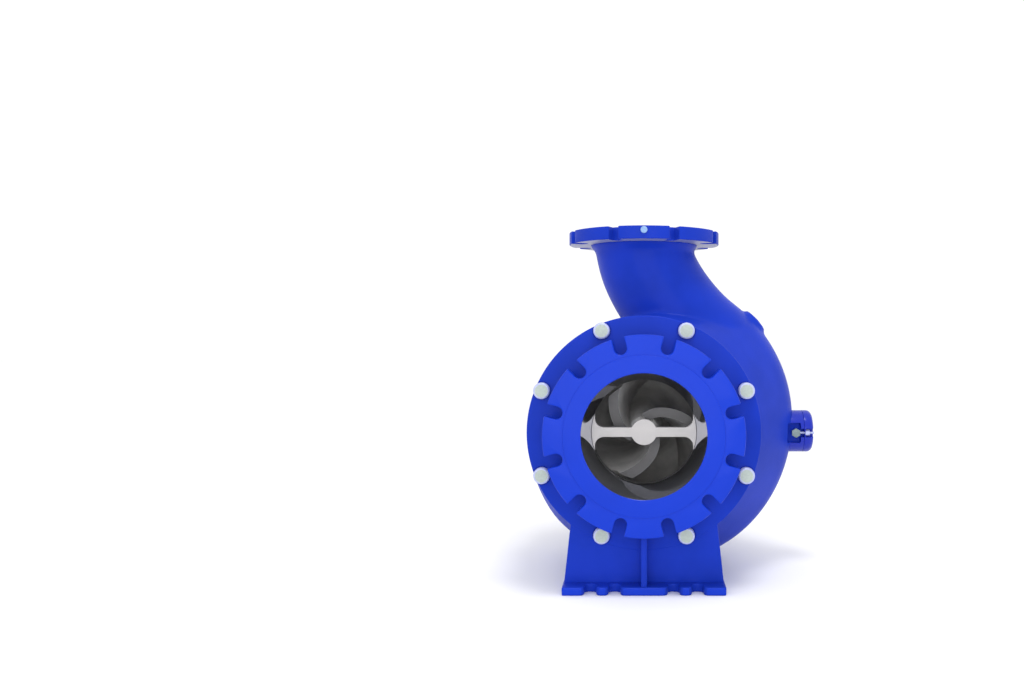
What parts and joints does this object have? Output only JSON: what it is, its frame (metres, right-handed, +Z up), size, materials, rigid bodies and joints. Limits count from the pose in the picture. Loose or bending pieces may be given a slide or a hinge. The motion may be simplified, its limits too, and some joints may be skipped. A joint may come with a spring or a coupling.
{
  "type": "end suction screw centrifugal pump, bare shaft",
  "caption": "Horizontal end-suction pump on two feet: flanged round suction cover with an open eye and a guide bar, spiral casing, upward discharge flange, turning vaned rotor.",
  "frame": {"origin": "on the floor under the pump's axis, at the middle of the front foot's underside", "axes": "+Y along the shaft from the suction side to the drive end, +Z up through the discharge flange, +X to the side that the casing's spiral bulges to"},
  "size_m": [0.649, 0.824, 0.7596],
  "materials": {
    "blue_enamel": "gloss enamel over cast iron",
    "guide_metal": "bare light grey casting, satin",
    "dark_iron": "dark as-cast iron",
    "zinc_plate": "zinc-plated",
    "turned_steel": "turned and ground",
    "sight_glass": "clear"
  },
  "bodies": {
    "pump_body": {"suction_cover": "blue_enamel", "cover_bolt_1": "zinc_plate", "cover_bolt_2": "zinc_plate", "cover_bolt_3": "zinc_plate", "cover_bolt_4": "zinc_plate", "cover_bolt_5": "zinc_plate", "cover_bolt_6": "zinc_plate", "cover_bolt_7": "zinc_plate", "cover_bolt_8": "zinc_plate", "inlet_bar": "guide_metal", "wear_liner": "dark_iron", "volute_casing": "blue_enamel", "gauge_plug": "zinc_plate", "boss_plug": "blue_enamel", "port_cover": "blue_enamel", "swing_bolt_front": "zinc_plate", "swing_bolt_back": "zinc_plate", "swing_pin_front": "zinc_plate", "swing_pin_back": "zinc_plate", "swing_nut_front": "zinc_plate", "swing_nut_back": "zinc_plate", "back_cover": "blue_enamel", "back_bolt_1": "zinc_plate", "back_bolt_2": "zinc_plate", "back_bolt_3": "zinc_plate", "back_bolt_4": "zinc_plate", "back_bolt_5": "zinc_plate", "back_bolt_6": "zinc_plate", "back_bolt_7": "zinc_plate", "back_bolt_8": "zinc_plate", "seal_gland": "turned_steel", "bearing_frame": "blue_enamel", "bearing_cap": "blue_enamel", "oil_fill_cap": "blue_enamel", "oil_sight": "sight_glass", "oil_drain_plug": "zinc_plate", "rear_foot": "blue_enamel"},
    "rotor": {"impeller": "dark_iron", "impeller_nut": "turned_steel", "shaft": "turned_steel", "shaft_key": "turned_steel"}
  },
  "joints": [
    {"name": "rotor_spin", "type": "hinge", "parent": "pump_body", "child": "rotor", "pos_m": [0, 0.5, 0.3244], "axis": [0, -1, 0], "continuous": true}
  ]
}
